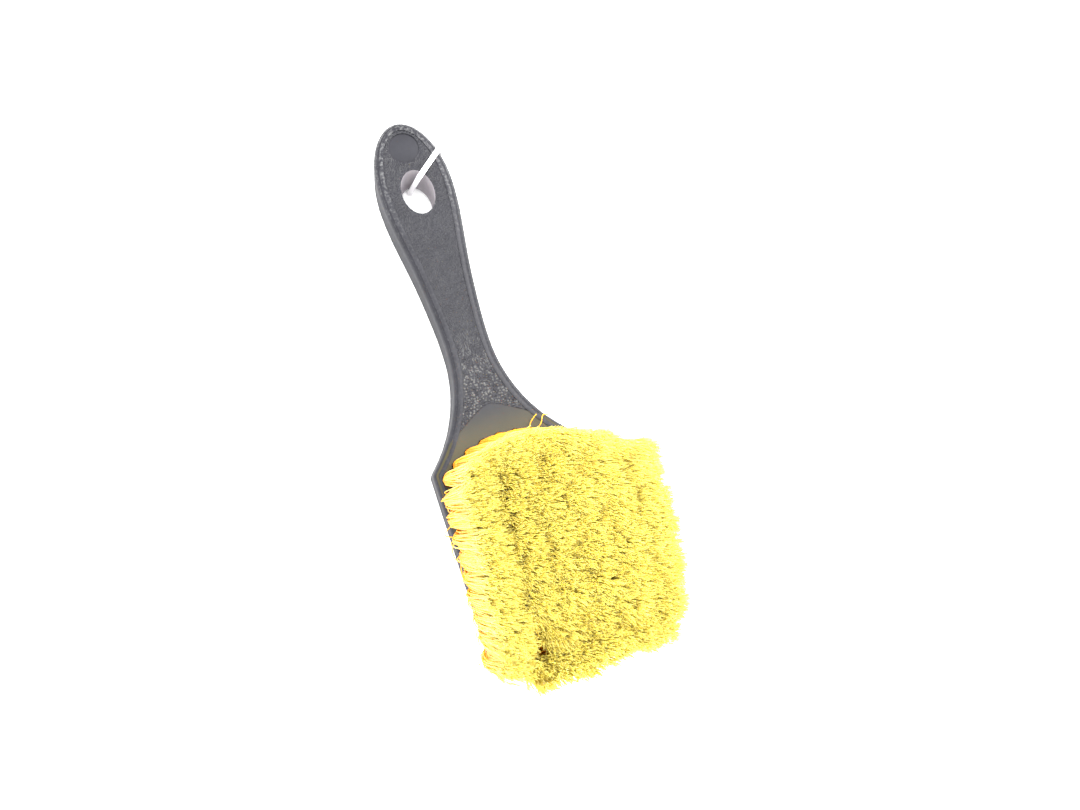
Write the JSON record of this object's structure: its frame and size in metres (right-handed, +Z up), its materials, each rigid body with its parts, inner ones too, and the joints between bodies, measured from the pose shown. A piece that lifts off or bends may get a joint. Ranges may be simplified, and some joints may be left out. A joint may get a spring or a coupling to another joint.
{
  "type": "short-handled scrub brush",
  "caption": "Short-handled scrub brush with a one-piece plastic handle and block, fanned split-end bristle tufts and a hanging hole with a nylon tie.",
  "frame": {"origin": "middle of the whole brush on the surface that it lies on", "axes": "+X from the handle end to the toe of the block, +Z up and away from that surface, brush on its back with its bristles up, +Y to the side that the bristles lean to"},
  "size_m": [0.215, 0.069, 0.0708],
  "materials": {
    "body_plastic": "charcoal moulded plastic, fine pebble grain with smooth borders",
    "bristle": "yellow plastic filament with split ends",
    "anchor_wire": "drawn wire",
    "nylon": "natural nylon"
  },
  "bodies": {
    "root": {"handle_block": "body_plastic", "hang_tie": "nylon", "tuft_anchors": "anchor_wire", "tuft_inner_01": "bristle", "tuft_inner_02": "bristle", "tuft_inner_03": "bristle", "tuft_inner_04": "bristle", "tuft_inner_05": "bristle", "tuft_inner_06": "bristle", "tuft_inner_07": "bristle", "tuft_inner_08": "bristle", "tuft_inner_09": "bristle", "tuft_inner_10": "bristle", "tuft_inner_11": "bristle", "tuft_inner_12": "bristle", "tuft_inner_13": "bristle", "tuft_inner_14": "bristle", "tuft_inner_15": "bristle", "tuft_inner_16": "bristle", "tuft_inner_17": "bristle", "tuft_inner_18": "bristle", "tuft_inner_19": "bristle", "tuft_inner_20": "bristle", "tuft_inner_21": "bristle", "tuft_inner_22": "bristle", "tuft_ring_01": "bristle", "tuft_ring_02": "bristle", "tuft_ring_03": "bristle", "tuft_ring_04": "bristle", "tuft_ring_05": "bristle", "tuft_ring_06": "bristle", "tuft_ring_07": "bristle", "tuft_ring_08": "bristle", "tuft_ring_09": "bristle", "tuft_ring_10": "bristle", "tuft_ring_11": "bristle", "tuft_ring_12": "bristle", "tuft_ring_13": "bristle", "tuft_ring_14": "bristle", "tuft_ring_15": "bristle", "tuft_ring_16": "bristle", "tuft_ring_17": "bristle", "tuft_ring_18": "bristle", "tuft_ring_19": "bristle", "tuft_ring_20": "bristle", "tuft_ring_21": "bristle", "tuft_ring_22": "bristle", "tuft_ring_23": "bristle", "tuft_ring_24": "bristle", "tuft_ring_25": "bristle", "tuft_ring_26": "bristle", "tuft_ring_27": "bristle", "tuft_ring_28": "bristle", "tuft_ring_29": "bristle", "tuft_ring_30": "bristle", "tuft_ring_31": "bristle", "tuft_ring_32": "bristle", "tuft_ring_33": "bristle", "tuft_ring_34": "bristle"}
  },
  "joints": []
}
